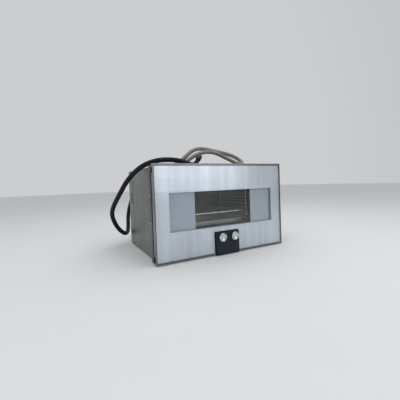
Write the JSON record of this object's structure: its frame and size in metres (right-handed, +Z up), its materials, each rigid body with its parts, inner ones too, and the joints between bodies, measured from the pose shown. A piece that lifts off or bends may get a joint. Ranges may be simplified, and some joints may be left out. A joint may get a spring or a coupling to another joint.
{
  "type": "built-in combi-steam oven",
  "caption": "Compact built-in combi-steam oven with a side-hinged full-glass door, a control module with turning knobs set into its lower edge, a sheet casing and water hoses.",
  "frame": {"origin": "middle of the footprint on the standing surface, hoses left out", "axes": "+X to the right seen from the front, +Y from the door to the rear, +Z up"},
  "size_m": [0.872, 0.7328, 0.588],
  "materials": {
    "zinc_sheet": "zinc-plated sheet, faint streaks",
    "frame_steel": "dark plated sheet",
    "fastener_steel": "plain plated steel",
    "foot_rubber": "matt",
    "cavity_steel": "satin stainless",
    "gasket_rubber": "matt silicone",
    "mineral_wool": "loose fibre board",
    "lamp_ceramic": "plain",
    "clear_glass": "clear, slightly green",
    "fan_aluminium": "pressed sheet",
    "motor_black": "satin",
    "heater_steel": "heat-tinted",
    "wire_chrome": "polished",
    "boiler_steel": "drawn stainless",
    "water_tube": "pale silicone",
    "pump_plastic": "moulded",
    "union_brass": "moulded nut",
    "cuff_rubber": "matt",
    "inlet_hose_black": "woven cover",
    "drain_hose_grey": "smooth, slight sheen",
    "carrier_plastic": "moulded",
    "board_green": "board laminate",
    "encoder_metal": "plain",
    "module_black": "satin blue-black",
    "knob_metal": "spun and polished",
    "front_glass": "clear front pane",
    "facing_steel": "vertical brush",
    "mask_grey": "grey screen",
    "shell_steel": "dark satin",
    "trim_metal": "satin anodised"
  },
  "bodies": {
    "casing": {"base_pan": "zinc_sheet", "left_side_panel": "zinc_sheet", "right_side_panel": "zinc_sheet", "top_cover": "zinc_sheet", "rear_cover": "zinc_sheet", "front_frame": "frame_steel", "hinge_brackets": "frame_steel", "frame_screws": "fastener_steel", "hinge_pins": "fastener_steel", "door_magnet": "fastener_steel", "base_feet": "foot_rubber", "cavity_liner": "cavity_steel", "fan_baffle": "cavity_steel", "cavity_gasket": "gasket_rubber", "insulation_jacket": "mineral_wool", "lamp_housing": "lamp_ceramic", "lamp_cover": "clear_glass", "air_duct": "fan_aluminium", "blower_housing": "fan_aluminium", "fan_motor": "motor_black", "blower_motor": "motor_black", "ring_heater": "heater_steel", "left_rack": "wire_chrome", "right_rack": "wire_chrome", "steam_boiler": "boiler_steel", "boiler_pipes": "water_tube", "inlet_valve": "pump_plastic", "drain_pump": "pump_plastic", "drain_pipes": "pump_plastic", "inlet_union_nut": "union_brass", "hose_end_nut": "union_brass", "drain_cuff": "cuff_rubber", "mains_gland": "cuff_rubber", "inlet_hose": "inlet_hose_black", "drain_hose": "drain_hose_grey", "board_carrier": "carrier_plastic", "terminal_box": "carrier_plastic", "power_board": "board_green", "control_board": "board_green", "rotary_encoders": "encoder_metal", "module_housing": "module_black", "module_panel": "module_black", "display_unit": "module_black"},
    "door": {"door_glass": "front_glass", "door_facing": "facing_steel", "door_window_mask": "mask_grey", "door_middle_glass": "clear_glass", "door_inner_glass": "clear_glass", "door_shell": "shell_steel", "door_top_trim": "trim_metal", "door_bottom_trims": "trim_metal", "door_side_trims": "trim_metal", "door_notch_trim": "trim_metal", "hinge_leaves": "frame_steel"},
    "hot_air_fan": {"fan_wheel": "fan_aluminium"},
    "cooling_blower": {"blower_wheel": "fan_aluminium"},
    "left_knob": {"left_knob": "knob_metal"},
    "right_knob": {"right_knob": "knob_metal"},
    "shelf": {"wire_shelf": "wire_chrome"},
    "tray": {"perforated_tray": "cavity_steel"}
  },
  "joints": [
    {"name": "door_hinge", "type": "hinge", "parent": "casing", "child": "door", "pos_m": [-0.366, -0.2435, 0.2315], "axis": [0, 0, -1], "range_deg": [0, 110]},
    {"name": "left_knob_turn", "type": "hinge", "parent": "casing", "child": "left_knob", "pos_m": [-0.0365, -0.2925, 0.092], "axis": [0, -1, 0], "continuous": true},
    {"name": "right_knob_turn", "type": "hinge", "parent": "casing", "child": "right_knob", "pos_m": [0.0365, -0.2925, 0.092], "axis": [0, -1, 0], "continuous": true},
    {"name": "hot_air_fan_spin", "type": "hinge", "parent": "casing", "child": "hot_air_fan", "pos_m": [0, 0.1655, 0.258], "axis": [0, 1, 0], "continuous": true},
    {"name": "cooling_blower_spin", "type": "hinge", "parent": "casing", "child": "cooling_blower", "pos_m": [0, 0.1665, 0.426], "axis": [1, 0, 0], "continuous": true},
    {"name": "shelf_slide", "type": "slide", "parent": "casing", "child": "shelf", "axis": [0, -1, 0], "range_m": [0, 0.015]},
    {"name": "tray_slide", "type": "slide", "parent": "casing", "child": "tray", "axis": [0, -1, 0], "range_m": [0, 0.015]}
  ]
}
